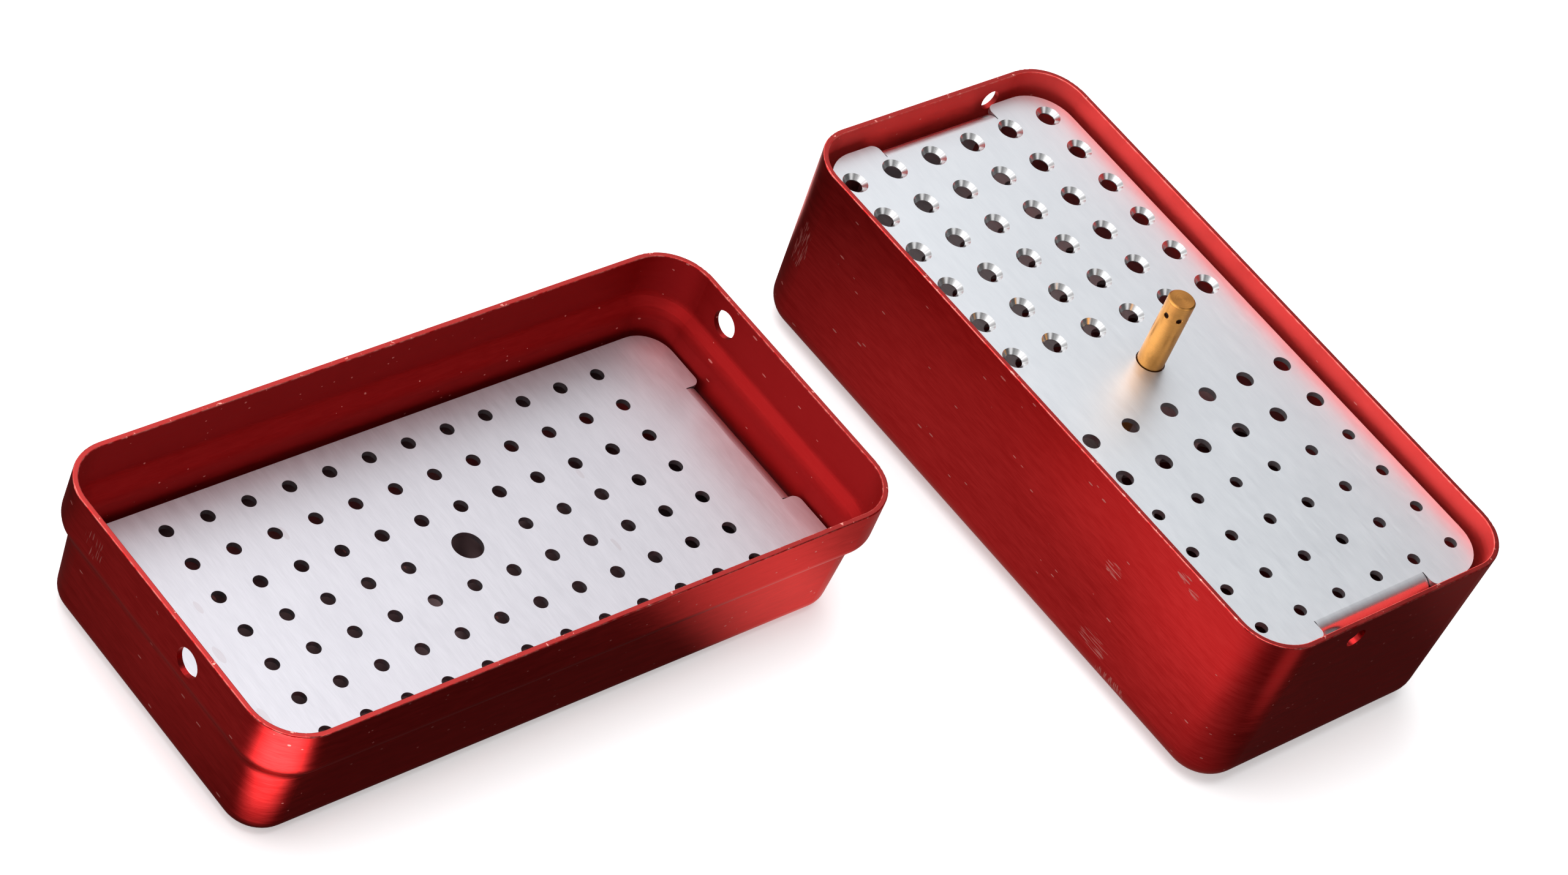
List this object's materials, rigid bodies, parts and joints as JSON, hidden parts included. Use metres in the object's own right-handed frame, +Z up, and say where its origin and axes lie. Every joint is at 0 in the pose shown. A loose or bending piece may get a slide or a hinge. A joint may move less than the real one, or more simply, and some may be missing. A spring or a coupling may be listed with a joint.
{
  "type": "endodontic file box",
  "caption": "Open drawn metal box for endodontic files: a perforated rack on legs with a brass lifting post, and a stepped lid lying beside it.",
  "frame": {"origin": "centre of the base's underside, on the surface that the box stands on", "axes": "+Z up, Y along the long side of the base with the countersunk seats at +Y, X across the base; the lid lies at -X"},
  "size_m": [0.2192, 0.128, 0.05],
  "materials": {
    "red_anodised": "satin, dyed red anodising with fine drawing lines",
    "bare_sheet": "bare satin sheet",
    "turned_brass": "turned, bare",
    "steel_fixing": "bright, plain"
  },
  "bodies": {
    "base": {"base_shell": "red_anodised"},
    "rack": {"file_plate": "bare_sheet", "guide_plate": "bare_sheet", "lifting_post": "turned_brass", "post_washer": "steel_fixing", "post_nut": "steel_fixing"},
    "lid": {"lid_shell": "red_anodised", "lid_plate": "bare_sheet"}
  },
  "joints": [
    {"name": "rack_lift", "type": "slide", "parent": "base", "child": "rack", "axis": [0, 0, 1], "range_m": [0, 0.045]},
    {"name": "lid_lift", "type": "slide", "parent": "base", "child": "lid", "axis": [0, 0, 1], "range_m": [0, 0.06]}
  ]
}
